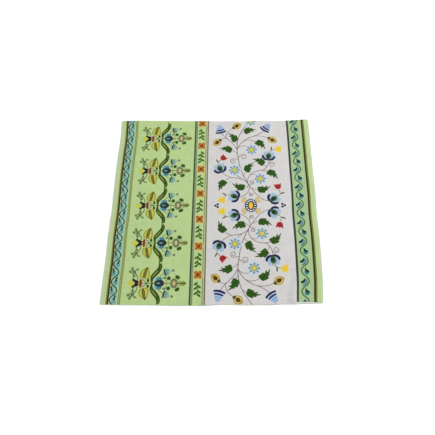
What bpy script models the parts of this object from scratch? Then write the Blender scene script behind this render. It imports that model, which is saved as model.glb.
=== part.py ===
"""A square cloth napkin of printed cotton, lying flat on a table.

It is one cut of cloth, so it is one sheet: its four hemmed edges bow a little in or out,
and a few low ripples start at an edge and run out towards the middle. Everywhere else
its underside lies dead flat on z = 0.

Run it with: blender --background --python part.py
Metres, +Z up. +X runs across the stripes of the print and +Y along them. The origin is
at the middle of the sheet's box, on the table.
"""

import math
from collections import namedtuple

import bmesh
import bpy
from mathutils import Vector

MM = 0.001

SIDE = 450 * MM
HALF = SIDE / 2
THICKNESS = 1.2 * MM
CELLS = 60
GREEN_LINEAR = (0.45, 0.61, 0.27, 1.0)
COTTON_ROUGHNESS = 0.9

# How far each edge bows outwards, in mm, at even stations along it. The bottom and top
# edges are read from left to right, and the left and right ones from bottom to top.
EDGE_BOWS = {
    "bottom": (1.4, 2.0, 2.2, 3.2, 2.9, 1.0, 1.8, 0.4, -0.8, -2.4),
    "top": (1.4, 1.2, -0.1, -1.6, -2.4, -3.8, -4.3, -4.3, -4.9, -4.8),
    "left": (0.8, 0.4, -0.5, 0.3, -1.4, -0.8, -0.4, -1.0, -2.4, -0.8),
    "right": (0.2, 3.3, 4.2, 4.1, 2.8, 3.6, 2.6, 2.2, 1.4, -0.1),
}
BOW_REACH = 0.8  # share of the half side over which an edge's bow fades to nothing

# A ripple is a low ridge. It is highest at its start, falls away within a half width
# before it, and has sunk to nothing at its end. Most start past an edge. Places and sizes
# are in mm from the middle of the cloth.
Ripple = namedtuple("Ripple", "name start end height half_width")
RIPPLES = (
    Ripple("corner_ridge", (166, -214), (200, -100), 4.0, 14),
    Ripple("corner_trough_side", (118, -228), (150, -150), 1.2, 24),
    Ripple("lifted_corner", (228, 228), (158, 168), 4.6, 58),
    Ripple("bottom_pucker", (-12, -228), (-4, -160), 1.6, 22),
    Ripple("left_crease", (-228, -37), (20, -34), 0.8, 15),
    Ripple("right_pucker", (228, 58), (150, 72), 1.4, 22),
    Ripple("top_pucker", (42, 228), (52, 168), 1.0, 20),
)


def smooth_step(t):
    t = min(max(t, 0.0), 1.0)
    return t * t * (3 - 2 * t)


def along(stations, t):
    """The value at t, from 0 to 1, of a smooth curve through evenly spaced stations."""
    last = len(stations) - 1
    place = min(max(t, 0.0), 1.0) * last
    i = min(int(place), last - 1)
    f = place - i
    before, here = stations[max(i - 1, 0)], stations[i]
    there, after = stations[i + 1], stations[min(i + 2, last)]
    return here + 0.5 * f * (
        there - before
        + f * (2 * before - 5 * here + 4 * there - after + f * (3 * (here - there) + after - before))
    )


def bowed(x, y):
    """Where a point of the square cut, in metres from its middle, lies on the table."""
    u, v = x / HALF, y / HALF
    side, right = ("right", 1) if u > 0 else ("left", -1)
    end, up = ("top", 1) if v > 0 else ("bottom", -1)
    near_side = smooth_step((abs(u) - 1 + BOW_REACH) / BOW_REACH)
    near_end = smooth_step((abs(v) - 1 + BOW_REACH) / BOW_REACH)
    out_x = along(EDGE_BOWS[side], (v + 1) / 2) * MM * near_side
    out_y = along(EDGE_BOWS[end], (u + 1) / 2) * MM * near_end
    return x + right * out_x, y + up * out_y


def lift(x, y):
    """The height of the cloth's underside at a point of the table, in metres."""
    height = 0.0
    for ripple in RIPPLES:
        start, end = Vector(ripple.start) * MM, Vector(ripple.end) * MM
        run = end - start
        away = Vector((x, y)) - start
        t = away.dot(run) / run.length_squared
        half_width = ripple.half_width * MM
        across = abs(run.x * away.y - run.y * away.x) / run.length / half_width
        before = -t * run.length / half_width
        if across < 1:
            ridge = 0.5 + 0.5 * math.cos(math.pi * across)
            height += ripple.height * MM * ridge * (1 - smooth_step(t)) * (1 - smooth_step(before))
    return height


def cotton():
    material = bpy.data.materials.new("printed_cotton")
    material.use_nodes = True
    shader = material.node_tree.nodes["Principled BSDF"]
    shader.inputs["Base Color"].default_value = GREEN_LINEAR
    shader.inputs["Roughness"].default_value = COTTON_ROUGHNESS
    shader.inputs["Metallic"].default_value = 0.0
    return material


def napkin():
    """The sheet: a square grid laid out with its bowed edges and ripples, then thickened upwards."""
    sheet = bmesh.new()
    bmesh.ops.create_grid(sheet, x_segments=CELLS, y_segments=CELLS, size=HALF)
    for vertex in sheet.verts:
        x, y = bowed(vertex.co.x, vertex.co.y)
        vertex.co = Vector((x, y, lift(x, y)))
    low_x, high_x = (pick(v.co.x for v in sheet.verts) for pick in (min, max))
    low_y, high_y = (pick(v.co.y for v in sheet.verts) for pick in (min, max))
    middle = Vector(((low_x + high_x) / 2, (low_y + high_y) / 2, 0))
    bmesh.ops.translate(sheet, verts=sheet.verts, vec=-middle)
    for face in sheet.faces:
        if face.normal.z > 0:
            face.normal_flip()
    mesh = bpy.data.meshes.new("napkin")
    sheet.to_mesh(mesh)
    sheet.free()
    mesh.materials.append(cotton())
    cloth = bpy.data.objects.new("napkin", mesh)
    bpy.context.scene.collection.objects.link(cloth)
    body = cloth.modifiers.new("thickness", "SOLIDIFY")
    body.thickness = THICKNESS
    body.offset = -1
    return cloth


def main():
    for old in list(bpy.data.objects):
        bpy.data.objects.remove(old)
    napkin()


main()
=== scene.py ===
"""The looks of a square cotton napkin with a printed face, lying flat on a pale floor.

The cloth is one thin closed sheet. Its upper side is cut into small triangles along the
outline of every printed shape, and each triangle takes the ink that was printed last over
it. The cloth, its print and its stitches are worked out in mm from the middle of the cut,
with +x to the right across the bands and +y up along them, and are turned into metres as
their meshes are made. The lights, the camera's distance and the floor are in metres.
"""

import math
from collections import namedtuple

import bpy
import numpy as np
from mathutils import Matrix, Vector, noise
from mathutils.geometry import delaunay_2d_cdt


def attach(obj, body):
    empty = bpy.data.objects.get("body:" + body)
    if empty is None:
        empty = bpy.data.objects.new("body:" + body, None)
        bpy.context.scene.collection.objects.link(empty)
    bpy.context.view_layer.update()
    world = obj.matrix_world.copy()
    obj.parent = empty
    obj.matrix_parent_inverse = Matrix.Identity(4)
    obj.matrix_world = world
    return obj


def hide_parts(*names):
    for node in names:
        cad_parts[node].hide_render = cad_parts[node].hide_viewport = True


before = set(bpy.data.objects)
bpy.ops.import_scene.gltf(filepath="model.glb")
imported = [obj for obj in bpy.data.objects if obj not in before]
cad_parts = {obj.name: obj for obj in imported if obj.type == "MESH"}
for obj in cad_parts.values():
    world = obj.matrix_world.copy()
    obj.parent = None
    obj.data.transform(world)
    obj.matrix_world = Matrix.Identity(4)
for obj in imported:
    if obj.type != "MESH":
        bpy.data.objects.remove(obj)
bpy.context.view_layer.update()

MM = 0.001

# ---------------------------------------------------------------- the cloth as it lies

HALF = 225.0  # half the side of the square cut
CORNER = 3.0  # radius of the cloth's corners
LEAST_CORNER = 0.6  # radius that a line well inside the edge still turns with
CORNER_TURNS = np.radians(np.arange(15, 90, 15))
ONE_LAYER = 0.45
HEM_LAYERS = 1.15  # thickness of the turned hem, three layers pressed together
HEM_WIDTH = 9.0
HEM_FALL = 12.0  # distance over which the cloth sinks from the hem to the table
FACE_SINKS_FROM = HEM_WIDTH - 1.0
UNDERSIDE_SINKS_FROM = HEM_WIDTH + 0.3
STITCH_LINE = 7.2  # from the cloth's edge to the hem's stitching
STITCH_DENT = 0.16
DENT_HALF = 0.9  # half the width of the dent along the stitching
EDGE_ROUND = 0.45  # how far the folded edge bulges outwards

# How far each edge bows outwards at even stations along it. The bottom and top edges are
# read from left to right, and the left and right ones from bottom to top.
EDGE_BOWS = {
    "bottom": (1.4, 2.0, 2.2, 3.2, 2.9, 1.0, 1.8, 0.4, -0.8, -2.4),
    "top": (1.4, 1.2, -0.1, -1.6, -2.4, -3.8, -4.3, -4.3, -4.9, -4.8),
    "left": (0.8, 0.4, -0.5, 0.3, -1.4, -0.8, -0.4, -1.0, -2.4, -0.8),
    "right": (0.2, 3.3, 4.2, 4.1, 2.8, 3.6, 2.6, 2.2, 1.4, -0.1),
}
BOW_REACH = 0.8  # share of the half side over which a side's bow fades to nothing

# A ripple is a low ridge. It is highest at its start, falls away within a half width
# before it, and has sunk to nothing at its end.
Ripple = namedtuple("Ripple", "name start end height half_width")
RIPPLES = (
    Ripple("corner_ridge", (166, -214), (200, -100), 4.0, 14),
    Ripple("corner_trough_side", (118, -228), (150, -150), 1.2, 24),
    Ripple("lifted_corner", (228, 228), (158, 168), 4.6, 58),
    Ripple("bottom_pucker", (-12, -228), (-4, -160), 1.6, 22),
    Ripple("left_crease", (-228, -37), (20, -34), 0.8, 15),
    Ripple("right_pucker", (228, 58), (150, 72), 1.4, 22),
    Ripple("top_pucker", (42, 228), (52, 168), 1.0, 20),
)
SLACK_HEIGHT = 0.45  # the cloth's small unevenness all over
SLACK_LENGTH = 42.0
SLACK_CONTRAST = 0.9
SLACK_FADE = 30.0  # distance from the edge over which the unevenness sets in


def smooth_step(t):
    t = np.clip(t, 0.0, 1.0)
    return t * t * (3 - 2 * t)


def between(before, here, there, after, f):
    """The point of a smooth curve that lies a share f of the way on from here to there."""
    return here + 0.5 * f * (
        there - before
        + f * (2 * before - 5 * here + 4 * there - after + f * (3 * (here - there) + after - before))
    )


def along(stations, t):
    """The values at t, from 0 to 1, of a smooth curve through evenly spaced stations."""
    s = np.array((stations[0],) + tuple(stations) + (stations[-1],))
    place = np.clip(t, 0.0, 1.0) * (len(stations) - 1)
    i = np.minimum(place.astype(int), len(stations) - 2)
    return between(s[i], s[i + 1], s[i + 2], s[i + 3], place - i)


def polar(radius, angle, up=None):
    """Points round the origin at these angles, on a circle or on an oval by its half sizes."""
    return np.column_stack((radius * np.cos(angle), (radius if up is None else up) * np.sin(angle)))


def laid(places):
    """Where points of the print, in mm from the middle of the cut, lie on the table."""
    x, y = places[:, 0], places[:, 1]
    u, t = x / HALF, (y / HALF + 1) / 2
    out = np.where(u > 0, along(EDGE_BOWS["right"], t), -along(EDGE_BOWS["left"], t))
    near_side = smooth_step((abs(u) - 1 + BOW_REACH) / BOW_REACH)
    return np.column_stack((x + out * near_side, y))


def end_line(x, end):
    """How far the bottom or top edge lies from the middle of the cloth, at x."""
    return HALF + along(EDGE_BOWS[end], (np.asarray(x, float) / HALF + 1) / 2)


def inset(places):
    """How far points of the print lie inside the cloth's edge."""
    x, y = places[:, 0], places[:, 1]
    from_end = np.where(y > 0, end_line(x, "top") - y, end_line(x, "bottom") + y)
    return np.minimum(HALF - abs(x), from_end)


def edge_loop(depth, spacing):
    """A line round the cloth, so far inside its edge, with rounded corners."""
    radius = max(CORNER - depth, LEAST_CORNER)
    reach = HALF - depth - radius
    straight = np.linspace(-reach, reach, int(2 * reach / spacing) + 1)
    low = np.column_stack((straight, depth - end_line(straight, "bottom")))
    high = np.column_stack((-straight, end_line(-straight, "top") - depth))

    def corner(x, y, first):
        return polar(radius, CORNER_TURNS + math.radians(first)) + (x, y)

    bottom_right, top_right = low[-1, 1] + radius, high[0, 1] - radius
    top_left, bottom_left = high[-1, 1] - radius, low[0, 1] + radius
    right = np.linspace(bottom_right, top_right, len(straight))
    left = np.linspace(top_left, bottom_left, len(straight))
    side = np.full(len(straight), HALF - depth)
    return np.concatenate((
        low, corner(reach, bottom_right, -90),
        np.column_stack((side, right)), corner(reach, top_right, 0),
        high, corner(-reach, top_left, 90),
        np.column_stack((-side, left)), corner(-reach, bottom_left, 180),
    ))


def ripple_lift(places):
    """How high the ripples raise points of the table."""
    height = np.zeros(len(places))
    for ripple in RIPPLES:
        start = np.array(ripple.start, float)
        run = np.array(ripple.end) - start
        away = places - start
        length = np.linalg.norm(run)
        t = away @ run / length**2
        across = abs(run[0] * away[:, 1] - run[1] * away[:, 0]) / length
        before = -t * length / ripple.half_width
        ridge = 0.5 + 0.5 * np.cos(np.pi * np.minimum(across / ripple.half_width, 1))
        height += ripple.height * ridge * (1 - smooth_step(t)) * (1 - smooth_step(before))
    return height


def slack(places):
    """The small unevenness of a cloth that was ironed and laid out by hand."""
    waves = [noise.noise(Vector((x, y, 0)) / SLACK_LENGTH) for x, y in places]
    return SLACK_HEIGHT * np.clip(0.5 + SLACK_CONTRAST * np.array(waves), 0, 1)


def stitch_dent(depth):
    """How deep the stitching pulls the cloth in, so far inside its edge."""
    return STITCH_DENT * np.clip(1 - abs(depth - STITCH_LINE) / DENT_HALF, 0, 1)


def lie(places, depth):
    """How high the ripples and the cloth's unevenness raise both its sides."""
    table = laid(places)
    return ripple_lift(table) + slack(table) * smooth_step(depth / SLACK_FADE)


def under_side(places):
    """The height of the cloth's underside above the table."""
    depth = inset(places)
    raised = np.where(depth > HEM_WIDTH, HEM_LAYERS - ONE_LAYER, 0.0)
    raised = raised * (1 - smooth_step((depth - UNDERSIDE_SINKS_FROM) / HEM_FALL))
    return lie(places, depth) + raised + stitch_dent(depth)


def upper_side(places):
    """The height of the printed face above the table."""
    depth = inset(places)
    layers = HEM_LAYERS - (HEM_LAYERS - ONE_LAYER) * smooth_step((depth - FACE_SINKS_FROM) / HEM_FALL)
    return lie(places, depth) + layers - stitch_dent(depth)


# ---------------------------------------------------------------- printing

# Red, green and blue as on a printed colour card, from 0 to 255.
INKS = {
    # the cloth, its panels and its stripes
    "lime": (184, 209, 143),
    "aqua": (158, 200, 166),
    "band_lime": (160, 176, 106),
    "panel_white": (212, 210, 208),
    # the right border's ground, darker than the lime: partly its own tint, partly painted shade where the
    # cloth slopes away at the right
    "border_green": (166, 193, 142),
    "selvedge": (194, 208, 172),
    # painted shade along the bottom edge below the right border, partly the turned hem's paler cloth
    "edge_shade_grey": (212, 214, 212),
    "bay_beige": (184, 188, 158),
    "band_olive": (118, 128, 56),
    "stripe_green": (54, 80, 56),
    "stripe_sage": (128, 144, 106),
    "stripe_dark": (50, 62, 48),
    "stripe_brown": (54, 48, 8),
    "stripe_olive": (124, 124, 64),
    "stripe_taupe": (106, 98, 70),
    # the white panel
    "stem": (124, 106, 108),
    "stalk_green": (84, 100, 70),
    "leaf_green": (44, 84, 14),
    "deep_green": (22, 54, 18),
    "sky_mist": (200, 211, 218),
    "pale_sky": (192, 208, 224),
    "petal_mist": (166, 184, 178),
    "dot_blue": (100, 132, 160),
    "eye_rim": (150, 158, 96),
    "eye_yellow": (214, 196, 90),
    "tulip_yellow": (228, 198, 52),
    "yellow_glow": (220, 208, 158),
    "red": (154, 36, 40),
    "blush": (236, 190, 192),
    "navy": (28, 28, 76),
    "bell_blue": (160, 186, 206),
    "bell_mist": (166, 182, 172),
    "bell_green": (62, 92, 72),
    "glow": (218, 202, 150),
    "ochre_line": (142, 128, 62),
    "rind": (214, 192, 112),
    "ochre": (136, 104, 22),
    "brown": (80, 52, 0),
    "fruit_cap": (78, 74, 22),
    "shell_blue": (34, 40, 92),
    "shell_sky": (118, 152, 188),
    "shell_mist": (172, 192, 222),
    "petal_white": (226, 226, 234),
    "ink_blue": (26, 42, 84),
    "yellow": (232, 198, 48),
    "drop_line": (186, 156, 78),
    "drop_yellow": (214, 194, 120),
    # the green panel's motif
    "blossom_edge": (188, 200, 98),
    "blossom_yellow": (200, 200, 66),
    "grey_bloom": (116, 132, 90),
    "sprig_green": (88, 106, 64),
    "sprig_bright": (100, 132, 58),
    "leaf_outline": (150, 152, 46),
    "leaf_yellow": (204, 192, 78),
    "leaf_lime": (186, 198, 92),
    "blade_grey": (112, 118, 62),
    "olive_dark": (86, 88, 26),
    "olive_line": (118, 132, 74),
    "olive_dot": (94, 102, 40),
    "bud_brown": (64, 52, 10),
    "black": (32, 32, 26),
    "rust": (104, 60, 18),
    "rust_glow": (204, 172, 122),
    "vine_green": (54, 78, 10),
    "vine_fresh": (62, 98, 26),
    "vine_core": (156, 162, 84),
    "flower_dark": (16, 54, 64),
    "flower_violet": (40, 46, 54),
    "petal_light": (136, 182, 172),
    "petal_blue": (92, 146, 154),
    "petal_deep": (68, 114, 132),
    "slit_grey": (132, 156, 128),
    "fan_blue": (82, 134, 128),
    "fan_teal": (124, 166, 148),
    "fan_pale": (146, 184, 156),
    "ring_grey": (108, 124, 92),
    "ring_olive": (116, 116, 76),
    "ring_heart": (198, 196, 138),
    "bud_olive": (126, 134, 70),
    "bud_pale": (180, 190, 104),
    # the borders
    "vine_teal": (38, 80, 64),
    "vine_grey": (66, 106, 54),
    "fan_halo": (156, 194, 158),
    "fan_low": (136, 182, 168),
    "fan_mid": (110, 160, 154),
    "fan_rib": (98, 146, 144),
    "fan_dark": (18, 66, 62),
    "fan_black": (2, 50, 42),
    "bay_aqua": (160, 196, 154),
    "claw_blue": (74, 124, 124),
    "claw_sky": (120, 158, 164),
    "hook_pale": (118, 164, 158),
    "hook_blue": (66, 114, 114),
    # the strip between the panels
    "flower_glow": (214, 194, 122),
    "petal_brown": (158, 104, 36),
    "orange": (178, 112, 40),
    "heart_brown": (122, 58, 0),
    "sprig_leaf": (58, 100, 28),
}

INK_DEPTH = 0.77  # how much of its light an ink keeps once printed on cotton
STEP = 1.5  # spacing of the points along a curved outline


class Stencil:
    """A place to print at: a point, the way its own x axis points, and whether it is mirrored."""

    def __init__(self, shapes, shift=(0.0, 0.0), turned=None):
        self.shapes = shapes
        self.shift = np.array(shift, float)
        self.turned = np.eye(2) if turned is None else turned

    def at(self, x, y, heading=0.0, mirror=1):
        a = math.radians(heading)
        turn = np.array(((math.cos(a), -mirror * math.sin(a)), (math.sin(a), mirror * math.cos(a))))
        return Stencil(self.shapes, self.shift + self.turned @ (x, y), self.turned @ turn)

    def sides(self):
        """The same place as it is, and mirrored across its own x axis."""
        return [self.at(0, 0, mirror=mirror) for mirror in (1, -1)]

    def fill(self, ink, outline):
        self.shapes.append((ink, self.shift + np.asarray(outline, float) @ self.turned.T))

    def spot(self, ink, across, up=None, x=0.0, y=0.0):
        """An oval by its half sizes, round where only one is given."""
        up = across if up is None else up
        count = max(8, round(np.pi * (across + up) / STEP))
        self.fill(ink, polar(across, around(count), up) + (x, y))

    def stroke(self, ink, points, *widths):
        """A stroke along a smooth line through the points."""
        self.fill(ink, ribbon(smooth(points), *widths))


def around(count):
    """Evenly spaced angles round a circle."""
    return np.linspace(0, 2 * np.pi, count, endpoint=False)


def scallop(across, up, lobes, depth, first=0.0):
    """An oval rim with rounded lobes and sharp notches between them."""
    t = around(lobes * 6)
    r = 1 - depth + depth * abs(np.cos(lobes * (t - math.radians(first)) / 2))
    return polar(across * r, t, up * r)


def teardrop(radius, reach, sharpness=6):
    """A round drop with its point on +x."""
    t = around(max(14, round(2 * np.pi * radius / STEP)))
    r = radius + (reach - radius) * np.clip(np.cos(t), 0, 1) ** sharpness
    return polar(r, t)


def smooth(points, spacing=STEP):
    """A smooth line through the points."""
    p = np.asarray(points, float)
    p = np.concatenate((2 * p[:1] - p[1:2], p, 2 * p[-1:] - p[-2:-1]))
    line = []
    for before, here, there, after in zip(p, p[1:], p[2:], p[3:]):
        count = max(2, round(np.linalg.norm(there - here) / spacing))
        f = np.linspace(0, 1, count, endpoint=False)[:, None]
        line.append(between(before, here, there, after, f))
    return np.concatenate(line + [p[-2:-1]])


SWING_REACH = 0.38  # share of a swung curve's span over which each end holds its heading
SWING_SPACING = 2.0


def swing(start, leaves, end, arrives):
    """A curve from start to end that sets off and arrives at the given headings."""
    start, end = np.array(start, float), np.array(end, float)
    span = np.linalg.norm(end - start)
    a, b = math.radians(leaves), math.radians(arrives)
    first = start + SWING_REACH * span * np.array((math.cos(a), math.sin(a)))
    last = end - SWING_REACH * span * np.array((math.cos(b), math.sin(b)))
    t = np.linspace(0, 1, max(3, round(span / SWING_SPACING)))[:, None]
    return (1 - t) ** 3 * start + 3 * t * (1 - t) ** 2 * first + 3 * t * t * (1 - t) * last + t ** 3 * end


def ribbon(line, *widths):
    """The outline of a stroke along a line. Its width runs evenly through the widths given."""
    line = np.asarray(line, float)
    way = np.gradient(line, axis=0)
    way /= np.linalg.norm(way, axis=1)[:, None]
    side = np.column_stack((-way[:, 1], way[:, 0]))
    share = np.linspace(0, 1, len(line))
    half = np.interp(share, np.linspace(0, 1, len(widths)), widths)[:, None] / 2
    return np.concatenate((line - side * half, (line + side * half)[::-1]))


def arc(radius, first, last):
    """Points on an arc round the origin, from one angle to another."""
    count = max(4, round(abs(math.radians(last - first)) * radius / STEP) + 1)
    return polar(radius, np.radians(np.linspace(first, last, count)))


CURL_TURNS = 1.3
CURL_TIGHTENS = 0.62  # share of its radius that a curl loses by its end
CURL_LENGTH = 7.5  # in its own radii
CURL_SPACING = 1.6


def curl(start, eye, radius, hand):
    """A line from start that runs on to a circle round the eye and winds into it."""
    start, eye = np.array(start, float), np.array(eye, float)
    away = start - eye
    lean = math.acos(min(radius / np.linalg.norm(away), 1))
    first = math.atan2(away[1], away[0]) + hand * lean
    t = np.linspace(0, 1, round(CURL_LENGTH * radius / CURL_SPACING))
    angle = first + hand * t * 2 * np.pi * CURL_TURNS
    winding = eye + polar(radius * (1 - CURL_TIGHTENS * t), angle)
    return np.concatenate((start[None], winding))


# ---------------------------------------------------------------- motifs of the white panel

def leaf(s):
    """A green leaf with its stalk end at the origin, its tip on +x and the longer teeth on +y."""
    long_side = ((0.4, 1.0), (1.0, 5.0), (1.8, 8.6), (4.4, 9.6), (8.2, 8.6), (11.4, 7.4), (15.6, 7.8),
                 (14.6, 4.4), (17.2, 3.6), (20.6, 5.2), (25.0, 6.6), (22.2, 3.2), (21.4, 1.2), (25.2, 1.2))
    short_side = ((26.6, -1.4), (21.6, -2.8), (21.6, -5.6), (17.8, -5.8), (14.6, -6.2), (14.6, -9.2),
                  (11.6, -9.4), (8.0, -8.3), (4.0, -6.6), (1.2, -4.8), (0.0, -2.0))
    tip = (31.5, 2.4)
    s.fill("leaf_green", long_side + (tip,) + short_side)
    s.fill("deep_green", ribbon(((1.5, 0), (9, -0.4), (20, 0)), 1.6, 1.2, 0.4))


DAISY_PETALS = 8
DAISY_TURN = -3  # heading of its first petal


def daisy(s):
    """A pale blue flower of eight petals round a yellow eye."""
    s.fill("sky_mist", scallop(15.6, 15.6, DAISY_PETALS, 0.14, first=DAISY_TURN))
    s.fill("pale_sky", scallop(13.6, 13.6, DAISY_PETALS, 0.2, first=DAISY_TURN))
    s.spot("petal_mist", 9.0)
    for i in range(DAISY_PETALS):
        s.at(0, 0, 45 * i + DAISY_TURN).spot("dot_blue", 2.5, 1.9, x=10.2)
    s.spot("eye_rim", 6.2)
    s.spot("eye_yellow", 4.3)


TULIP_EDGES = {"red": "blush", "tulip_yellow": "yellow_glow"}


def tulip(s, ink):
    """A small tulip from its base at the origin, opening towards +x with three points."""
    upper = ((0.2, 1.6), (1.8, 4.6), (4.8, 6.6), (8.6, 7.0), (14.6, 8.0), (12.0, 3.8))
    lower = tuple((x, -y) for x, y in upper[::-1])
    s.fill(TULIP_EDGES[ink], np.array(upper + ((14.0, 0),) + lower) * 1.22 - (1.4, 0))
    s.fill(ink, upper + ((13.4, 0),) + lower)


def bell(s):
    """A flower with two bowed navy arms from its stalk at the origin. It opens towards +x."""
    for side in s.sides():
        side.at(13.2, 7.4, 6).spot("pale_sky", 10.6, 6.4)
        side.at(11.6, 7.6, 8).spot("bell_blue", 9.0, 4.9)
    s.spot("bell_mist", 4.0, 4.8, x=18.4)
    s.spot("bell_green", 4.6, 4.2, x=1.8)
    s.fill("bell_green", scallop(8.0, 6.2, 5, 0.06) + (9.6, 0.2))
    s.spot("deep_green", 4.6, 4.1, x=8.2, y=-0.8)
    arm = ((-0.6, 1.2), (0.0, 5.4), (2.2, 9.4), (6.0, 12.4), (11.0, 13.6))
    for side in s.sides():
        side.stroke("navy", arm, 3.2, 4.8, 5.6, 5.6, 5.2, 3.4)


def pomegranate(s):
    """A yellow fruit with a blunt point on +x, a brown heart and a green cap behind."""
    s.fill("glow", teardrop(10.0, 12.8, 8))
    s.fill("ochre_line", teardrop(9.0, 11.6, 8))
    s.fill("rind", teardrop(7.6, 9.2, 8))
    s.fill("ochre", teardrop(5.0, 7.6))
    s.fill("brown", teardrop(3.9, 6.0))
    s.spot("fruit_cap", 3.3, 4.1, x=-8.9, y=-0.4)


Bar = namedtuple("Bar", "distance length thickness ink")
SHELL_BARS = (
    Bar(0.6, 25.6, 4.9, "navy"),
    Bar(7.2, 19.6, 4.1, "shell_blue"),
    Bar(13.6, 14.2, 2.9, "shell_sky"),
    Bar(19.0, 8.6, 2.1, "shell_sky"),
)


def fan(s, bars, bend):
    """Bowed bars one behind another towards +x, like the ribs of a shell."""
    for bar in bars:
        sweep = math.degrees(bar.length / bend) / 2
        line = arc(bend, 180 - sweep, 180 + sweep) + (bend + bar.distance, 0)
        s.fill(bar.ink, ribbon(line, 0.8 * bar.thickness, bar.thickness, 0.8 * bar.thickness))


def shell(s):
    """A fan of four navy and blue bars on a pale ground, narrowing towards +x."""
    upper = ((24, 0), (23, 3.8), (15, 7.6), (8, 10), (1, 11.5))
    lower = tuple((x, -y) for x, y in upper[:0:-1])
    s.fill("shell_mist", lower + upper)
    fan(s, SHELL_BARS, 36)


MEDALLION_PETALS = 14


def medallion(s):
    """The flower in the middle: a yellow eye in a ring of white petals, and four drops."""
    s.fill("navy", scallop(13.6, 17.0, MEDALLION_PETALS, 0.08))
    for angle in around(MEDALLION_PETALS):
        heading = math.degrees(angle)
        s.at(9.1 * math.cos(angle), 13.0 * math.sin(angle), heading).spot("petal_white", 2.1, 1.65)
    s.spot("ink_blue", 6.7, 10.9)
    s.spot("fruit_cap", 6.0, 10.2)
    s.spot("yellow", 4.5, 8.2)
    for right in (1, -1):
        for up in (1, -1):
            drop = s.at(16.0 * right, 11.6 * up, up * (90 + 30 * right))
            drop.fill("drop_line", teardrop(4.5, 9.0, 3))
            drop.fill("drop_yellow", teardrop(3.3, 7.0, 3))


# The panel is printed twice, the second time mirrored up, so these tables hold its lower
# half alone. Places are in mm from the medallion's middle.
PANEL_X = 84.3
PANEL_Y = -5.0
MEDALLION_X = 0.4

Spot = namedtuple("Spot", "x y heading")
Leaf = namedtuple("Leaf", "x y heading long_side")
LEAVES = (
    Leaf(-13, -42, 204, 1), Leaf(16.5, -36, -21, -1), Leaf(-58.5, -64.5, 115, -1),
    Leaf(41, -89, 45, 1), Leaf(-11, -87, -51, 1), Leaf(34, -107.5, 206, -1),
    Leaf(-40, -145, 190, -1), Leaf(17.5, -170, 49, 1), Leaf(-29, -169.5, 230, -1),
    Leaf(-12.5, -197, -9, 1),
)
BELLS = (Spot(-27, -20, 200), Spot(43, -10.5, -41), Spot(-65, -86, 248), Spot(41.8, -117.5, -82))
Tulip = namedtuple("Tulip", "x y heading ink")
TULIPS = (
    Tulip(-60, -20.5, 116, "tulip_yellow"), Tulip(61.5, -40, -100, "red"),
    Tulip(-66, -118.5, -41, "red"), Tulip(59, -145.5, 0, "tulip_yellow"),
)
BLADES = (Spot(-53, -26, 208), Spot(64.5, -28.5, -20), Spot(-72.5, -110.5, 243), Spot(50, -142, -88))
DAISIES = ((22.5, -67), (-35, -90.5), (4.5, -144.5))
TOP_DAISY = (4.5, 225)
FRUITS = (Spot(-75, -166.5, 137), Spot(53, -171.5, 33), Spot(-29.5, -211.5, -38))
SHELLS = (Spot(-66.5, -193, -103), Spot(35, -198.5, -52.5))
Stem = namedtuple("Stem", "start leaves end arrives width")
STEM_SPREAD = 0.15  # how much wider a stem comes out than it was drawn
FORK = (-3.5, -52)
LOW_FORK = (-29, -145)
STEMS = (
    Stem(FORK, 56, (44, -11), -2, 1.3), Stem(FORK, 66, (-26.5, -20.5), 176, 1.3),
    Stem((3, -43.5), 34, (17, -39), 0, 1.2), Stem((-4, -50.5), 124, (-12, -43.5), 160, 1.2),
    Stem(FORK, 246, (-41, -70.8), 184, 1.5), Stem((-41, -70.8), 172, (-56, -63.5), 142, 1.2),
    Stem((-40, -70.8), 190, (-64.5, -86), 226, 1.2), Stem((-20, -68.5), 212, (-31, -80), 248, 1.2),
    Stem(FORK, 243, (-25, -112), 262, 1.6), Stem((-25, -112), 262, LOW_FORK, 266, 1.6),
    Stem((-15, -77), -62, (-6, -85), -20, 1.1), Stem((-5, -56), 262, (-1, -76), -52, 1.4),
    Stem((-1, -76), -44, (17, -76), 34, 1.2), Stem((-1, -76), -54, (40, -86.5), 16, 1.3),
    Stem((26, -88.5), -16, (43.5, -117), -88, 1.3), Stem((37, -97), -112, (33, -104), 234, 1.1),
    Stem((-28, -134), 238, (-41, -143), 198, 1.1), Stem(LOW_FORK, 250, (-55, -179), 224, 1.5),
    Stem((-55, -179), 224, (-64.5, -192), 250, 1.2), Stem((-52, -176), 206, (-67, -174), 150, 1.1),
    Stem((-55, -179), 272, (-38, -206), -32, 1.2), Stem(LOW_FORK, -88, (-21, -190), -66, 1.5),
    Stem((-21, -190), -66, (0, -222), -54, 1.4), Stem((-20, -191), -34, (-11, -197), -30, 1.1),
    Stem((-29, -158), 262, (-33, -167), 226, 1.1), Stem(LOW_FORK, -76, (-1, -152), 40, 1.2),
    Stem(LOW_FORK, -70, (4, -180), -22, 1.5), Stem((4, -180), -22, (34, -197), -46, 1.3),
    Stem((8, -181.5), -14, (45, -177), 22, 1.2), Stem((-12, -169.5), -30, (16, -166), 34, 1.2),
)
Curl = namedtuple("Curl", "start eye radius hand")
CURLS = (
    Curl((-3, -33), (2, -27.5), 4.2, -1), Curl((-3.5, -52), (3.5, -58.5), 5.0, -1),
    Curl((41.5, -106), (49.5, -104), 7.0, 1), Curl((-27, -119), (-38, -114), 6.8, -1),
    Curl((-27, -124), (-14, -125.5), 7.4, 1),
)
DotTrio = namedtuple("DotTrio", "x odd_side")
DOT_TRIOS = (DotTrio(-74.2, -1), DotTrio(69.8, 1))


def dot_trio(s, odd_side):
    """Three navy dots, two in a column and the odd one beside them."""
    for x, y in ((3.4 * odd_side, 0), (-1.7 * odd_side, 3.3), (-1.7 * odd_side, -3.3)):
        s.spot("navy", 2.75, x=x, y=y)


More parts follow.
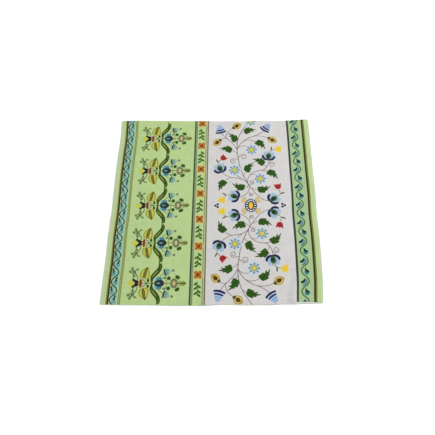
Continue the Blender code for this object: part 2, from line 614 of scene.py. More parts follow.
def bell_stalks(s):
    """The stalks that carry each bell's tulip and its narrow leaf."""
    for flower, tip, blade in zip(BELLS, TULIPS, BLADES):
        a = math.radians(flower.heading)
        mouth = (flower.x + 18 * math.cos(a), flower.y + 18 * math.sin(a))
        s.stroke("stalk_green", (mouth, (blade.x, blade.y), (tip.x, tip.y)), 1.3)
        s.at(*blade).spot("stalk_green", 5.6, 1.7, x=5.2)


def white_panel(s):
    """Stems and curls first, then the flowers, leaves and fruits that lie over them."""
    middle = s.at(PANEL_X, PANEL_Y)
    halves = middle.sides()
    for half in halves:
        for stem in STEMS:
            half.fill("stem", ribbon(swing(*stem[:4]), stem.width + STEM_SPREAD))
        for turn in CURLS:
            half.fill("stem", ribbon(curl(*turn), 1.5, 1.3))
        bell_stalks(half)
    for half in halves:
        for x, y in DAISIES:
            daisy(half.at(x, y))
        for spot in LEAVES:
            leaf(half.at(spot.x, spot.y, spot.heading, mirror=spot.long_side))
        for motif, spots in ((pomegranate, FRUITS), (shell, SHELLS), (bell, BELLS)):
            for spot in spots:
                motif(half.at(*spot))
        for spot in TULIPS:
            tulip(half.at(spot.x, spot.y, spot.heading), spot.ink)
    daisy(middle.at(*TOP_DAISY))
    medallion(middle.at(MEDALLION_X, 0))
    for trio in DOT_TRIOS:
        dot_trio(middle.at(trio.x, 0), trio.odd_side)


# ---------------------------------------------------------------- the green panel's motif

# Here x is in mm from the cloth's left edge, and y from the motif's own axis.
GREEN_AXES = (173.4, 85.3, -3.4, -92.9, -182.1)

SMALL_FAN = (
    Bar(0.0, 16.0, 3.8, "flower_dark"),
    Bar(4.6, 14.4, 2.6, "fan_blue"),
    Bar(8.0, 12.4, 1.6, "fan_teal"),
)


def curly_sprig(s):
    """The grey-green sprig beside the yellow blossom, with curled ends and small leaves."""
    stem = ((72.6, 7), (72.4, 12.6), (69.4, 17.6), (65, 23.6), (61.6, 28), (58.8, 33))
    s.spot("grey_bloom", 3.6, 3.0, x=63.6, y=23.6)
    s.fill("grey_bloom", ribbon(((64.4, 9.6), (62.8, 15), (63.4, 21)), 1.8, 2.4, 2.4))
    s.stroke("sprig_green", stem, 1.8, 2.0, 3.0, 2.6)
    s.stroke("sprig_green", ((66.4, 20), (66.4, 26), (68.4, 30), (72, 30.6)), 2.6, 2.0)
    s.stroke("sprig_green", ((63, 26), (60, 27.6), (57, 25.6), (55, 28.6)), 1.8)
    s.at(55.8, 24, 155).spot("sprig_bright", 4.0, 2.2)
    s.at(71.4, 29.6, 60).spot("sprig_bright", 2.5, 2.0)
    s.at(59.0, 32.0, 70).spot("sprig_bright", 3.4, 2.6)
    s.at(64.4, 16.0, 150).spot("sprig_green", 3.0, 2.3)
    s.at(60.6, 20.6, 30).spot("sprig_green", 2.0, 1.2)


def yellow_leaf(s):
    """A broad yellow leaf with an olive outline and a grey-olive blade down its middle."""
    edge = ((84, 10.4), (79, 11.8), (76.3, 15.6), (76.3, 21), (78.8, 26.2), (83, 30.4), (88, 33.8),
            (91.6, 35.4), (94.2, 31), (96.2, 24.6), (97.2, 17), (95.6, 11), (90, 9.2))
    inner = ((84.6, 12.4), (80.6, 13.8), (78.8, 17), (78.8, 21.4), (81.4, 25.6), (85, 29), (89.4, 32),
             (91.4, 32.4), (92.8, 28), (94.2, 22), (94.6, 16), (93.2, 12.2), (89, 11.2))
    s.fill("leaf_outline", smooth(edge + edge[:1]))
    s.fill("leaf_yellow", smooth(inner + inner[:1]))
    s.stroke("leaf_lime", ((82.4, 13.6), (81.2, 19), (83.4, 25.4)), 2.0, 4.2, 2.0)
    blade = smooth(((85.2, 11.4), (86.4, 19), (88.2, 27), (91.6, 34.6)))
    s.fill("olive_dark", ribbon(blade, 3.4, 6.9, 6.4, 4.6, 2.8))
    s.fill("blade_grey", ribbon(blade[2:-5], 1.2, 3.2, 3.0, 1.2))


def vine_half(s):
    """Half of the thick green vine: from its rounded end in to the motif's axis."""
    s.fill("vine_green", ribbon(((114.8, 47), (115.6, 40)), 1.6, 2.6))
    line = smooth(((117.4, 43.0), (118.2, 38.4), (116.6, 31.4), (112.4, 24.8), (107.0, 18.6),
                   (102.8, 12.8), (102.0, 7.0), (102.8, 0.0)))
    s.fill("vine_green", ribbon(line, 4.6, 8.2, 8.8, 9.8, 10.2, 9.4, 7.4, 4.8, 3.0))
    s.fill("vine_fresh", ribbon(line[1:9] + (0.8, 0), 2.0, 4.4, 1.6))
    s.stroke("vine_core", ((113.8, 27.6), (109.4, 22.2), (105.0, 17.0), (102.8, 13.4)), 1.0, 2.0, 2.0, 1.0)


def small_blue_flower(s):
    """The blue and dark flower that lies on the motif's axis beside the vine."""
    for side in s.sides():
        side.spot("petal_light", 5.8, 5.2, x=112.8, y=8.4)
        side.spot("petal_blue", 5.8, 5.0, x=117.6, y=8.9)
        side.spot("petal_deep", 1.7, 3.6, x=115.2, y=9.4)
        side.spot("petal_deep", 1.7, 3.4, x=120.4, y=8.6)
    s.at(117, 0, 180).fill("flower_dark", teardrop(7.2, 9.8, 2))
    s.spot("flower_dark", 8.0, 7.4, x=119.6)
    s.spot("flower_violet", 3.6, 5.6, x=124.4)
    s.spot("slit_grey", 4.2, 1.6, x=115.8)


RING_PETALS = 12


def ring_flower(s):
    """The grey flower with a ring of petals and the olive bud behind it."""
    middle = 148.4
    for angle in around(RING_PETALS):
        spot = s.at(middle + 6.6 * math.cos(angle), 8.9 * math.sin(angle), math.degrees(angle))
        spot.spot("ring_grey", 2.4, 2.1)
    s.spot("ring_olive", 5.6, 7.8, x=middle)
    s.spot("rust_glow", 3.0, 5.4, x=middle)
    s.spot("ring_heart", 2.2, 4.6, x=middle - 0.2)
    s.fill("bud_olive", teardrop(5.4, 7.2, 3) + (165.8, 0))
    s.stroke("bud_pale", ((162.6, 3.0), (166, 3.9), (169.4, 2.6)), 0.8, 1.5, 0.6)
    s.fill("olive_dark", ribbon(((159, 0), (173.4, 0)), 0.8, 2.2, 3.0, 3.0))
    s.spot("olive_dark", 2.5, 2.3, x=156.8)


def green_motif(s):
    """One motif of the green panel. It is the same on both sides of its axis."""
    s.fill("sprig_green", ribbon(((73, 0), (162, 0)), 1.6))
    s.spot("blossom_edge", 6.4, 6.4, x=58.4)
    s.fill("blossom_yellow", scallop(5.0, 5.0, 6, 0.12) + (58.8, 0))
    s.spot("rust_glow", 4.8, 10.6, x=79.4)
    for side in s.sides():
        curly_sprig(side)
        yellow_leaf(side)
        side.stroke("sprig_green", ((82.5, 8.5), (87, 4.6), (93, -3)), 1.5)
        side.spot("bud_brown", 2.7, 3.6, x=94.4, y=6.2)
        side.spot("bud_brown", 3.0, 2.8, x=63.8, y=7.4)
        side.stroke("black", ((72.8, 0), (69.6, 3.4), (65.0, 5.6)), 10.0, 7.4, 4.4)
        vine_half(side)
        side.fill("olive_line", ribbon(swing((117, 13), 60, (126.4, 21), 32), 1.6))
        side.fill("fan_pale", ((127, 30.8), (133, 31.6), (138, 30.6), (141.2, 26.8), (138.8, 21.4),
                               (134.6, 17.2), (131, 15.6)))
        fan(side.at(128, 22.8, 17), SMALL_FAN, 34)
        side.spot("bay_beige", 3.6, x=145.3, y=27.6)
        side.spot("olive_dot", 2.5, x=145.3, y=27.6)
        side.fill("olive_line", ribbon(swing((132, 0), 90, (129, 13), 150), 1.4))
        side.spot("grey_bloom", 3.8, 2.8, x=128.6, y=11.6)
        side.spot("leaf_green", 4.0, 4.3, x=137.2, y=10.8)
        side.fill("olive_line", ribbon(swing((160.5, 1), 90, (157, 10), 130), 1.4))
        side.at(156.6, 12.4, 152).fill("leaf_green", teardrop(3.9, 7.0, 3))
    s.spot("rust", 2.6, 9.2, x=79.2)
    small_blue_flower(s)
    ring_flower(s)


# ---------------------------------------------------------------- stripes and borders

# Stripes run the whole way up the cloth; x is in mm from the left edge.
Stripe = namedtuple("Stripe", "x width ink")
STRIPES = (
    Stripe(1.5, 6.0, "selvedge"), Stripe(12.2, 2.6, "stripe_olive"), Stripe(15.0, 3.4, "stripe_brown"),
    Stripe(25.8, 17.8, "aqua"), Stripe(18.4, 3.0, "bay_beige"), Stripe(38.2, 6.2, "band_lime"),
    Stripe(36.2, 1.4, "band_olive"), Stripe(39.4, 1.4, "band_olive"),
    Stripe(181.9, 3.8, "stripe_green"), Stripe(185.9, 3.2, "stripe_sage"),
    Stripe(207.3, 1.7, "band_olive"), Stripe(209.4, 2.4, "bay_beige"), Stripe(212.0, 2.5, "stripe_taupe"),
    # the right border's ground is printed darker, partly as painted shade of the cloth sloping away there
    Stripe(306.0, 184.8, "panel_white"), Stripe(417.0, 31.0, "border_green"),
    Stripe(399.7, 4.5, "stripe_dark"), Stripe(434.3, 4.0, "stripe_brown"),
    Stripe(437.7, 2.6, "stripe_olive"), Stripe(448.5, 5.0, "selvedge"),
)
BEYOND = 12.0  # stripes and vines are printed this far past the cut
STRIPE_POINTS = 95


def stripes(s):
    y = np.linspace(-HALF - BEYOND, HALF + BEYOND, STRIPE_POINTS)
    for stripe in STRIPES:
        s.fill(stripe.ink, ribbon(np.column_stack((np.full(len(y), stripe.x), y)), stripe.width))


# A vine sways either side of its x. Its first bend to the left is at first_bend, and one
# follows in each period down the cloth.
Vine = namedtuple("Vine", "x sway period first_bend ink")
LEFT_VINE = Vine(24.5, 6.4, 38.6, 207.5, "vine_teal")
RIGHT_VINE = Vine(415.4, 7.2, 43.8, 195.3, "vine_grey")
VINE_WIDTH = 2.7
VINE_SPACING = 2.0
# One period of a vine, as shares of its sway outwards and of its period down.
VINE_PERIOD = ((-1, 0), (-0.56, -0.17), (0.56, -0.33), (1, -0.5), (0.56, -0.67), (-0.56, -0.83))


def vine_bends(vine):
    """Where a vine bends to the left, from above the cloth's top edge to below its bottom one."""
    count = int(2 * (HALF + BEYOND) / vine.period) + 2
    return [vine.first_bend - turn * vine.period for turn in range(-1, count)]


def wavy_vine(s, vine):
    points = [(vine.x + vine.sway * out, y + down * vine.period)
              for y in vine_bends(vine) for out, down in VINE_PERIOD]
    line = smooth(points, VINE_SPACING)
    s.fill(vine.ink, ribbon(line[abs(line[:, 1]) < HALF + BEYOND], VINE_WIDTH))


def left_fan(s):
    """A blue fan that widens down from the dot at its top. The origin is its middle."""
    s.spot("fan_halo", 5.3, 9.4, x=-0.8, y=-1.2)
    body = s.at(0, -0.6, -6)
    body.fill("fan_low", ((-1.8, 4), (-4.2, 0.5), (-5.2, -4), (-4.0, -7.6), (1.5, -8.6), (5.0, -7),
                          (4.4, -1), (2.4, 4)))
    body.fill("fan_mid", ((-2.0, 5), (-4.0, 1), (-4.4, -2.6), (-2.6, -5), (1.5, -5.8), (4.4, -4.6),
                          (4.0, 0), (2.4, 5)))
    for x in (-2.4, 0.2, 2.8):
        body.fill("fan_rib", ribbon(((0.5 * x, 4.6), (x, -4.6)), 0.8, 1.4, 0.6))
    s.stroke("fan_dark", ((0.4, 6.2), (0.6, 3.6), (0.2, 0.2)), 2.2, 4.6, 3.2)
    s.spot("fan_dark", 2.3, x=1.7, y=8.0)


def left_border(s):
    """A dark vine with a blue fan in every bend."""
    for bend in vine_bends(LEFT_VINE):
        left_fan(s.at(27.2, bend - 0.4))
        left_fan(s.at(20.9, bend - 19.8, mirror=-1, heading=180))
    wavy_vine(s, LEFT_VINE)


def claw(s):
    """A dark claw and two blue stripes. The origin is the vine's bend on their right."""
    s.spot("bay_aqua", 8.2, 9.0, x=-7.6, y=-1.0)
    s.stroke("claw_blue", ((-3.0, 5.0), (-3.6, -1.6), (-8.2, -7.0), (-12, -7.8)), 2.0, 3.4, 2.4)
    s.stroke("claw_sky", ((-4.8, 6.6), (-5.2, 1.6), (-9.2, -4.4)), 1.8, 2.8, 1.6)
    s.stroke("fan_black", ((-6.4, 7.2), (-7.4, 3.2), (-10.2, 0), (-14.8, -2.6)), 1.8, 4.2, 5.6, 3.6)


def hook(s):
    """A dark hook over a blue bowl. The origin is the vine's bend on their left."""
    s.spot("bay_aqua", 8.4, 7.8, x=11.4, y=0.4)
    s.spot("hook_pale", 5.0, 4.6, x=11.6, y=-1.6)
    s.spot("hook_blue", 4.8, 4.2, x=10.9, y=-0.2)
    s.stroke("fan_black", ((8.3, 9.6), (8.9, 5.6), (11.4, 2.8), (16.2, 1.6)), 1.4, 4.0, 5.6, 3.2)


def right_border(s):
    """A green vine with a claw or a hook in every bend."""
    for bend in vine_bends(RIGHT_VINE):
        claw(s.at(421.0, bend - 23.5))
        hook(s.at(407.7, bend - 3.0))
    wavy_vine(s, RIGHT_VINE)


STRIP_X = 197.2
STRIP_REPEAT = 63.17
FIRST_FLOWER = 215.2
FLOWERS = 7
SPRIG_DROP = 31  # from a flower's middle down to that of the sprig below it


def four_petals(s):
    """An orange flower with four round petals on its diagonals."""
    s.fill("flower_glow", scallop(12.0, 11.8, 4, 0.16, first=45))
    for corner in range(4):
        petal = s.at(0, 0, 45 + 90 * corner)
        petal.spot("petal_brown", 4.0, 4.2, x=6.0)
        petal.spot("orange", 2.6, 2.6, x=4.4)
    s.spot("orange", 5.7)
    s.spot("heart_brown", 3.5)


SPRIG_LEAFLETS = ((14.0, -1), (8.0, 1), (4.8, -1), (-2.6, 1), (-6.0, -1), (-10.2, 1))  # y and side


def sprig(s):
    """Six drooping leaflets down a stalk."""
    s.stroke("sprig_leaf", ((0, 16.4), (-1, 9), (0.6, 1), (0, -10)), 1.6)
    for y, side in SPRIG_LEAFLETS:
        s.at(0, y, -90 + 53 * side).spot("sprig_leaf", 5.0, 2.4, x=4.3)


def centre_strip(s):
    """Flowers with a sprig below each, every second sprig turned over to point up."""
    for i in range(FLOWERS):
        y = FIRST_FLOWER - i * STRIP_REPEAT
        flipped = i % 2
        four_petals(s.at(STRIP_X, y))
        sprig(s.at(STRIP_X - 0.4, y - SPRIG_DROP, heading=180 * flipped, mirror=1 - 2 * flipped))


def shaded_bottom_rim(s):
    """A pale grey band along the bottom edge below the right border, printed over the border: partly the
    turned hem's paler cloth, partly painted shade where the lifted edge casts its shadow.
    """
    top = ((396.5, -220.8), (417, -220.3), (430, -220.8), (447, -222.4))
    s.fill("edge_shade_grey", ((396.5, -228),) + top + ((447, -228),))


def print_shapes():
    """Every printed shape in the order of printing, as its ink and its outline."""
    shapes = []
    middle = Stencil(shapes)
    left = middle.at(-HALF, 0)
    stripes(left)
    left_border(left)
    right_border(left)
    # painted shade along the bottom edge below the right border
    shaded_bottom_rim(left)
    centre_strip(left)
    for y in GREEN_AXES:
        green_motif(left.at(0, y))
    white_panel(middle)
    return shapes


# ---------------------------------------------------------------- the sheet

GRID = 5.0
EDGE_SPACING = 3.0
# How far inside the edge the rows of points lie that shape the hem.
HEM_ROWS = (0.5, 1.4, 6.3, STITCH_LINE, 8.1, HEM_WIDTH, 9.4, 12.0, 15.0, 19.0)
MERGE = 1e-3  # points closer than this become one


def linear(rgb):
    """An ink's colour as light, once it is printed on cotton."""
    c = np.array(rgb) / 255
    return INK_DEPTH * np.where(c <= 0.04045, c / 12.92, ((c + 0.055) / 1.055) ** 2.4)


def inside(places, outline):
    """Which points lie inside an outline, counted by how often it winds round them."""
    x, y = places[:, 0, None], places[:, 1, None]
    a, b = outline, np.roll(outline, -1, axis=0)
    turn = (b[:, 0] - a[:, 0]) * (y - a[:, 1]) - (x - a[:, 0]) * (b[:, 1] - a[:, 1])
    up = (a[:, 1] <= y) & (b[:, 1] > y) & (turn > 0)
    down = (a[:, 1] > y) & (b[:, 1] <= y) & (turn < 0)
    return up.sum(axis=1) != down.sum(axis=1)


def within_box(places, outline):
    """Which points lie within the box round an outline, as their numbers."""
    low, high = outline.min(axis=0), outline.max(axis=0)
    return np.flatnonzero(((places >= low) & (places <= high)).all(axis=1))


def cut_up(shapes, edge):
    """Triangles that fill the edge and follow every outline, as their points and corners."""
    loops = [outline for ink, outline in shapes] + [edge] + [edge_loop(row, GRID) for row in HEM_ROWS]
    ticks = np.arange(-HALF + GRID, HALF, GRID)
    grid = np.stack(np.meshgrid(ticks, ticks), axis=-1).reshape(-1, 2)
    points = np.concatenate(loops + [grid[inset(grid) > HEM_ROWS[-1] + 1]])
    edges = []
    start = 0
    for loop in loops:
        i = np.arange(len(loop))
        edges.append(np.column_stack((start + i, start + (i + 1) % len(loop))))
        start += len(loop)
    flat, _, faces, *_ = delaunay_2d_cdt(
        [Vector(p) for p in points], np.concatenate(edges).tolist(), [], 0, MERGE, False
    )
    places = np.array([tuple(p) for p in flat])
    corners = np.array(faces)
    middles = places[corners].mean(axis=1)
    kept = inside(middles, edge)
    return places, corners[kept], middles[kept]


def inked(shapes, middles):
    """The colour of each triangle: the last ink printed over its middle."""
    colours = np.tile(linear(INKS["lime"]), (len(middles), 1))
    for ink, outline in shapes:
        near = within_box(middles, outline)
        colours[near[inside(middles[near], outline)]] = linear(INKS[ink])
    return colours


def compact(places, corners):
    """The same triangles with only the points that they use."""
    used, corners = np.unique(corners, return_inverse=True)
    return places[used], corners.reshape(-1, 3)


def rim_of(corners):
    """The points round the sheet's edge, in order, anticlockwise from above."""
    sides = np.concatenate((corners[:, :2], corners[:, 1:], corners[:, ::2][:, ::-1]))
    one_way = {tuple(side) for side in sides.tolist()}
    onward = {a: b for a, b in one_way if (b, a) not in one_way}
    first = min(onward)
    loop = [first]
    while onward[loop[-1]] != first:
        loop.append(onward[loop[-1]])
    return np.array(loop)


REVERSE_STRENGTH = 0.34  # how much of the print shows through on the reverse
EDGE_STRENGTH = 0.7  # and of the lime ground round the folded edge
RIM_TURNS = (-60, -20, 20, 60)  # headings round the folded edge's bulge, from below to above


def sheet_points(places, rim, shift):
    """Points of the upper side, the underside and the folded edge between them, in metres."""
    table = laid(places) - shift
    top = np.column_stack((table, upper_side(places)))
    under = np.column_stack((table, under_side(places)))
    way = np.roll(table[rim], -1, axis=0) - np.roll(table[rim], 1, axis=0)
    out = np.column_stack((way[:, 1], -way[:, 0])) / np.linalg.norm(way, axis=1)[:, None]
    middle, half = (top[rim, 2] + under[rim, 2]) / 2, (top[rim, 2] - under[rim, 2]) / 2
    rings = []
    for turn in np.radians(RIM_TURNS):
        bulge = table[rim] + out * EDGE_ROUND * math.cos(turn)
        rings.append(np.column_stack((bulge, middle + half * math.sin(turn))))
    return np.concatenate([top, under] + rings) * MM


def sheet_faces(count, corners, rim):
    """Corners of every triangle of the closed sheet."""
    rows = [count + rim]
    rows += [2 * count + i * len(rim) + np.arange(len(rim)) for i in range(len(RIM_TURNS))]
    rows += [rim]
    wall = []
    for low, high in zip(rows, rows[1:]):
        low_next, high_next = np.roll(low, -1), np.roll(high, -1)
        wall.append(np.column_stack((low, low_next, high_next)))
        wall.append(np.column_stack((low, high_next, high)))
    return np.concatenate([corners, count + corners[:, ::-1]] + wall)


def napkin_cloth(cotton, reverse):
    """The printed sheet, its colours and its unwrapped map."""
    shapes = print_shapes()
    edge = edge_loop(0.0, EDGE_SPACING)
    places, corners, middles = cut_up(shapes, edge)
    colours = inked(shapes, middles)
    places, corners = compact(places, corners)
    rim = rim_of(corners)
    box = laid(edge)
    shift = (box.min(axis=0) + box.max(axis=0)) / 2
    points = sheet_points(places, rim, shift)
    faces = sheet_faces(len(places), corners, rim)

    mesh = bpy.data.meshes.new("napkin_cloth")
    mesh.from_pydata(points.tolist(), [], faces.tolist())
    mesh.materials.append(cotton)
    mesh.materials.append(reverse)
    count = len(corners)
    pale = linear(INKS["petal_white"])
    ghost = pale + (colours - pale) * REVERSE_STRENGTH
    around_edge = pale + (linear(INKS["lime"]) - pale) * EDGE_STRENGTH
    wall = np.tile(around_edge, (len(faces) - 2 * count, 1))
    painted = np.column_stack((np.concatenate((colours, ghost, wall)), np.ones(len(faces))))
    ink = mesh.color_attributes.new("ink", "FLOAT_COLOR", "CORNER")
    ink.data.foreach_set("color", np.repeat(painted, 3, axis=0).ravel())
    mesh.polygons.foreach_set("material_index", np.repeat((0, 1, 0), (count, count, len(wall))))
    mesh.polygons.foreach_set("use_smooth", np.ones(len(faces), bool))
    unwrap(mesh, points[:, :2], faces, count)
    cloth = bpy.data.objects.new("napkin_cloth", mesh)
    bpy.context.scene.collection.objects.link(cloth)
    return cloth, shift


FACE_SHARE = 0.84  # share of the map's width that the printed face takes
GAP = 0.002  # left free round the printed face's part of the map
MAP_RIGHT = 0.995  # where the strip beside it ends
REVERSE_TALL = 0.8  # share of the strip's height that the reverse takes
EDGE_LOW = 0.86  # where the folded edge starts above the reverse
EDGE_TALL = 0.1


def unwrap(mesh, flat, faces, count):
    """The printed face takes most of the map; the reverse and the edge share a strip beside it."""
    low, high = flat.min(axis=0), flat.max(axis=0)
    square = (flat - low) / (high - low)
    uv = square[faces]
    uv[:count] = GAP + uv[:count] * (FACE_SHARE - 2 * GAP)
    uv[count:] = uv[count:] * (MAP_RIGHT - FACE_SHARE, REVERSE_TALL) + (FACE_SHARE + GAP, GAP)
    uv[2 * count:, :, 1] = EDGE_LOW + EDGE_TALL * square[faces[2 * count:]][:, :, 1]
    layer = mesh.uv_layers.new(name="OFBake")
    layer.data.foreach_set("uv", uv.reshape(-1))


# ---------------------------------------------------------------- hem stitching

STITCH_PITCH = 3.1
STITCH_LENGTH = 2.5
THREAD_HALF = 0.19
THREAD_SIDES = 6
THREAD_SUNK = 0.35 * THREAD_HALF
DIP_FROM = 0.28  # share of its length, either side of its middle, at which a stitch turns down
DIP_THINS = 0.55  # share of its thickness that is left at its ends


def one_stitch():
    """A stitch lying along x: a short length of thread whose ends dip into the cloth."""
    bpy.ops.object.select_all(action="DESELECT")
    bpy.ops.mesh.primitive_cylinder_add(
        vertices=THREAD_SIDES, radius=THREAD_HALF, depth=STITCH_LENGTH
    )
    stitch = bpy.context.object
    bpy.ops.object.mode_set(mode="EDIT")
    bpy.ops.mesh.select_all(action="SELECT")
    bpy.ops.transform.rotate(value=math.pi / 2, orient_axis="Y", center_override=(0, 0, 0))
    for share in (-DIP_FROM, DIP_FROM):
        bpy.ops.mesh.select_all(action="SELECT")
        bpy.ops.mesh.bisect(plane_co=(share * STITCH_LENGTH, 0, 0), plane_no=(1, 0, 0))
    bpy.ops.object.mode_set(mode="OBJECT")
    for vertex in stitch.data.vertices:
        at_an_end = abs(vertex.co.x) > 0.45 * STITCH_LENGTH
        if at_an_end:
            vertex.co.z = DIP_THINS * vertex.co.z - THREAD_HALF
            vertex.co.y *= DIP_THINS
    stitch.data.calc_loop_triangles()
    points = np.array([v.co[:] for v in stitch.data.vertices])
    triangles = np.array([t.vertices[:] for t in stitch.data.loop_triangles])
    bpy.data.objects.remove(stitch)
    return points, triangles


def hem_line(phase):
    """The middle, front end and back end of each stitch of one row round the hem."""
    line = edge_loop(STITCH_LINE, 1.0)
    line = np.concatenate((line, line[:1]))
    length = np.concatenate(((0,), np.cumsum(np.linalg.norm(np.diff(line, axis=0), axis=1))))
    count = round(length[-1] / STITCH_PITCH)
    where = (np.arange(count) + phase) * length[-1] / count

    def at(distance):
        distance = distance % length[-1]
        return np.column_stack([np.interp(distance, length, line[:, axis]) for axis in (0, 1)])

    return at(where), at(where + 0.5 * STITCH_LENGTH), at(where - 0.5 * STITCH_LENGTH)


def hem_stitches(thread, shift):
    """Both rows of the hem's stitching: the upper thread and, half a stitch along, the under one."""
    points, triangles = one_stitch()
    rows = []
    for phase, height_of, up in ((0.0, upper_side, 1), (0.5, under_side, -1)):
        middles, ahead, behind = hem_line(phase)
        way = laid(ahead) - laid(behind)
        way /= np.linalg.norm(way, axis=1)[:, None]
        table = laid(middles) - shift
        rise = (height_of(ahead) - height_of(behind)) / STITCH_LENGTH
        x, y, h = points[:, 0], points[:, 1], points[:, 2] - THREAD_SUNK
        for place, z, (c, s), slope in zip(table, height_of(middles), way, rise):
            rows.append(np.column_stack((
                place[0] + c * x - up * s * y, place[1] + s * x + up * c * y, z + slope * x + up * h
            )))
    faces = np.concatenate([triangles + i * len(points) for i in range(len(rows))])
    mesh = bpy.data.meshes.new("hem_stitches")
    mesh.from_pydata((np.concatenate(rows) * MM).tolist(), [], faces.tolist())
    mesh.materials.append(thread)
    mesh.polygons.foreach_set("use_smooth", np.ones(len(faces), bool))
    stitches = bpy.data.objects.new("hem_stitches", mesh)
    bpy.context.scene.collection.objects.link(stitches)
    return stitches


# ---------------------------------------------------------------- finishes

def socket(group, name, way, kind="NodeSocketFloat", value=None):
    """A named input or output of a node group."""
    made = group.interface.new_socket(name, in_out=way, socket_type=kind)
    if value is not None:
        made.default_value = value


def feed(tree, slot, value):
    """Gives an input a value, or links another node's output to it."""
    if isinstance(value, bpy.types.NodeSocket):
        tree.links.new(value, slot)
    else:
        slot.default_value = value


def wire(tree, node, **inputs):
    """Feeds a node's inputs. An underscore in a name stands for a space."""
    for name, value in inputs.items():
        feed(tree, node.inputs[name.replace("_", " ")], value)
    return node


def added(tree, kind, **inputs):
    """A new shader node with its inputs fed."""
    return wire(tree, tree.nodes.new("ShaderNode" + kind), **inputs)


def maths(tree, operation, *values):
    """The output of a new Math node."""
    node = tree.nodes.new("ShaderNodeMath")
    node.operation = operation
    for slot, value in zip(node.inputs, values):
        feed(tree, slot, value)
    return node.outputs[0]


def yarn_noise(tree, place, stretch):
    """Soft noise, stretched by so much along x, y and z."""
    mapping = added(tree, "Mapping", Vector=place, Scale=stretch)
    return added(tree, "TexNoise", Vector=mapping.outputs[0], Scale=1.0, Detail=3.0).outputs["Fac"]


# How often the noise changes in a metre: along the weft, along the warp, and evenly all over.
WEFT_STREAKS = (26.0, 420.0, 1.0)
WARP_STREAKS = (420.0, 26.0, 1.0)
MOTTLING = (70.0, 70.0, 1.0)
MIDDLE_NOISE = 1.5  # middle value of the three noises' sum
# painted shade of the weave: the gaps between the threads are painted darker than their tops
WEAVE_SHADE = 0.05  # how much lighter the threads' tops are than the gaps between them
GROUND_TONE = 0.985
LEAST_ROUGHNESS = 0.8
ROUGHNESS_SPREAD = 0.12


def woven_cloth_group():
    """Plain weave: its threads' height, painted shade that darkens the gaps between the threads, and the
    faint streaks and mottling of printed yarn.
    """
    group = bpy.data.node_groups.new("woven_cloth", "ShaderNodeTree")
    socket(group, "Ink", "INPUT", "NodeSocketColor")
    socket(group, "Threads per metre", "INPUT", value=2400.0)
    socket(group, "Streaks", "INPUT", value=0.06)
    socket(group, "Color", "OUTPUT", "NodeSocketColor")
    socket(group, "Roughness", "OUTPUT")
    socket(group, "Height", "OUTPUT")
    given, out = group.nodes.new("NodeGroupInput"), group.nodes.new("NodeGroupOutput")

    def times(a, b):
        return maths(group, "MULTIPLY", a, b)

    def plus(a, b):
        return maths(group, "ADD", a, b)

    place = added(group, "TexCoord").outputs["Object"]
    parts = added(group, "SeparateXYZ", Vector=place)
    turns = times(given.outputs["Threads per metre"], math.pi)
    warp, weft = (maths(group, "SINE", times(parts.outputs[axis], turns)) for axis in "XY")
    ridges = plus(maths(group, "ABSOLUTE", warp), maths(group, "ABSOLUTE", weft))
    height = plus(times(times(warp, weft), 0.5), times(ridges, 0.25))

    along_weft, along_warp, mottling = (
        yarn_noise(group, place, stretch) for stretch in (WEFT_STREAKS, WARP_STREAKS, MOTTLING)
    )
    mixed = plus(plus(along_weft, along_warp), mottling)
    streaks = times(maths(group, "SUBTRACT", mixed, MIDDLE_NOISE), given.outputs["Streaks"])
    shade = plus(times(height, WEAVE_SHADE), GROUND_TONE)
    tinted = added(group, "VectorMath")
    tinted.operation = "SCALE"
    wire(group, tinted, Vector=given.outputs["Ink"], Scale=plus(shade, streaks))
    roughness = plus(times(mottling, ROUGHNESS_SPREAD), LEAST_ROUGHNESS)
    wire(group, out, Color=tinted.outputs[0], Roughness=roughness, Height=height)
    return group


MATT_SHINE = 0.12


def new_material(name):
    """A matt material, its nodes' tree and its shader."""
    material = bpy.data.materials.new(name)
    material.use_nodes = True
    tree = material.node_tree
    shader = tree.nodes["Principled BSDF"]
    return material, tree, wire(tree, shader, Metallic=0.0, Specular_IOR_Level=MATT_SHINE)


def cotton_finish(name, weave, streaks, sheen, thread):
    """Printed cotton with threads so high, in mm. The ink comes from the sheet's own colours."""
    material, tree, shader = new_material(name)
    ink = added(tree, "Attribute")
    ink.attribute_name = "ink"
    cloth = added(tree, "Group")
    cloth.node_tree = weave
    wire(tree, cloth, Ink=ink.outputs["Color"], Streaks=streaks)
    bump = added(tree, "Bump", Strength=0.35, Distance=thread * MM, Height=cloth.outputs["Height"])
    wire(tree, shader, Base_Color=cloth.outputs["Color"], Roughness=cloth.outputs["Roughness"],
         Normal=bump.outputs["Normal"], Sheen_Weight=sheen, Sheen_Roughness=0.6)
    return material


def thread_finish():
    """Pale green sewing cotton with a fine twist."""
    material, tree, shader = new_material("sewing_thread")
    place = added(tree, "TexCoord").outputs["Object"]
    twist = added(tree, "TexWave", Vector=place, Scale=900.0)
    twist.bands_direction = "DIAGONAL"
    tones = added(tree, "ValToRGB", Fac=twist.outputs["Fac"])
    for stop, ink in zip(tones.color_ramp.elements, ("lime", "selvedge")):
        stop.color = (*linear(INKS[ink]), 1.0)
    bump = added(tree, "Bump", Strength=0.4, Distance=0.05 * MM, Height=twist.outputs["Fac"])
    wire(tree, shader, Base_Color=tones.outputs["Color"], Normal=bump.outputs["Normal"], Roughness=0.7)
    return material


# ---------------------------------------------------------------- floor, light and camera

FLOOR_SIZE = 6.0
FLOOR_DROP = 0.3 * MM  # the floor lies this far under the cloth


def pale_floor():
    """A plain floor that runs out of sight on every side."""
    bpy.ops.object.select_all(action="DESELECT")
    bpy.ops.mesh.primitive_plane_add(size=FLOOR_SIZE, location=(0, 0, -FLOOR_DROP))
    floor = bpy.context.object
    floor.name = "floor"
    material, tree, shader = new_material("pale_floor")
    wire(tree, shader, Base_Color=(0.93, 0.93, 0.93, 1), Roughness=0.9)
    floor.data.materials.append(material)


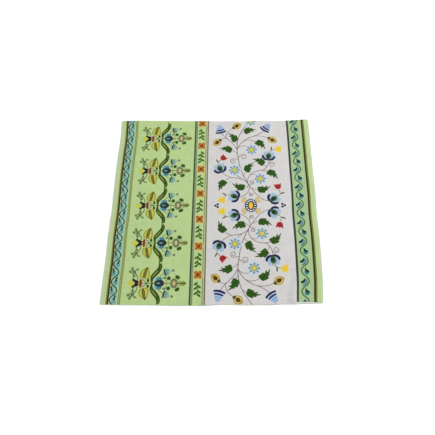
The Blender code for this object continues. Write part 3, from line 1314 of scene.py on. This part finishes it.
Lamp = namedtuple("Lamp", "name place size power")
LAMPS = (
    Lamp("key", (1.5, 0.9, 1.7), 1.3, 50.0),
    Lamp("fill", (-1.4, -0.8, 2.0), 2.0, 12.0),
)
SKY_STRENGTH = 0.60


def studio_light():
    """Two large soft lamps under an even white sky."""
    for lamp in LAMPS:
        light = bpy.data.lights.new(lamp.name, "AREA")
        light.size = lamp.size
        light.energy = lamp.power
        holder = bpy.data.objects.new(lamp.name, light)
        place = Vector(lamp.place)
        holder.location = place
        holder.rotation_euler = place.to_track_quat("Z", "Y").to_euler()
        bpy.context.scene.collection.objects.link(holder)
    world = bpy.data.worlds.new("soft_white")
    world.use_nodes = True
    tree = world.node_tree
    wire(tree, tree.nodes["Background"], Color=(1, 1, 1, 1), Strength=SKY_STRENGTH)
    scene = bpy.context.scene
    scene.world = world
    scene.view_settings.view_transform = "Standard"


CAMERA_AIM = (11.6, -33.4)  # mm from the middle of the cut
CAMERA_AZIMUTH = 5.5
CAMERA_ELEVATION = 65.6
CAMERA_ROLL = -5.33
CAMERA_DISTANCE = 0.998
CAMERA_LENS = 37.7  # mm, on a film 36 mm wide
FILM_WIDTH = 36.0


def camera(shift):
    """Looks down on the cloth from a little right of its front, slightly rolled."""
    azimuth, elevation = math.radians(CAMERA_AZIMUTH), math.radians(CAMERA_ELEVATION)
    back = Vector((math.sin(azimuth) * math.cos(elevation),
                   -math.cos(azimuth) * math.cos(elevation), math.sin(elevation)))
    aim = Vector((*((np.array(CAMERA_AIM) - shift) * MM), 0))
    lens = bpy.data.cameras.new("camera")
    lens.lens = CAMERA_LENS
    lens.sensor_width = FILM_WIDTH
    lens.clip_start = 0.01
    holder = bpy.data.objects.new("camera", lens)
    roll = Matrix.Rotation(math.radians(CAMERA_ROLL), 4, "Z")
    level = back.to_track_quat("Z", "Y").to_matrix().to_4x4()
    holder.matrix_world = Matrix.Translation(aim + back * CAMERA_DISTANCE) @ level @ roll
    bpy.context.scene.collection.objects.link(holder)
    bpy.context.scene.camera = holder


def main():
    weave = woven_cloth_group()
    cotton = cotton_finish("printed_cotton_face", weave, streaks=0.17, sheen=0.06, thread=0.06)
    reverse = cotton_finish("cotton_reverse", weave, streaks=0.05, sheen=0.08, thread=0.07)
    cloth, shift = napkin_cloth(cotton, reverse)
    stitches = hem_stitches(thread_finish(), shift)
    for piece in (cloth, stitches):
        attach(piece, "root")
    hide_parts("napkin")
    pale_floor()
    studio_light()
    camera(shift)


main()
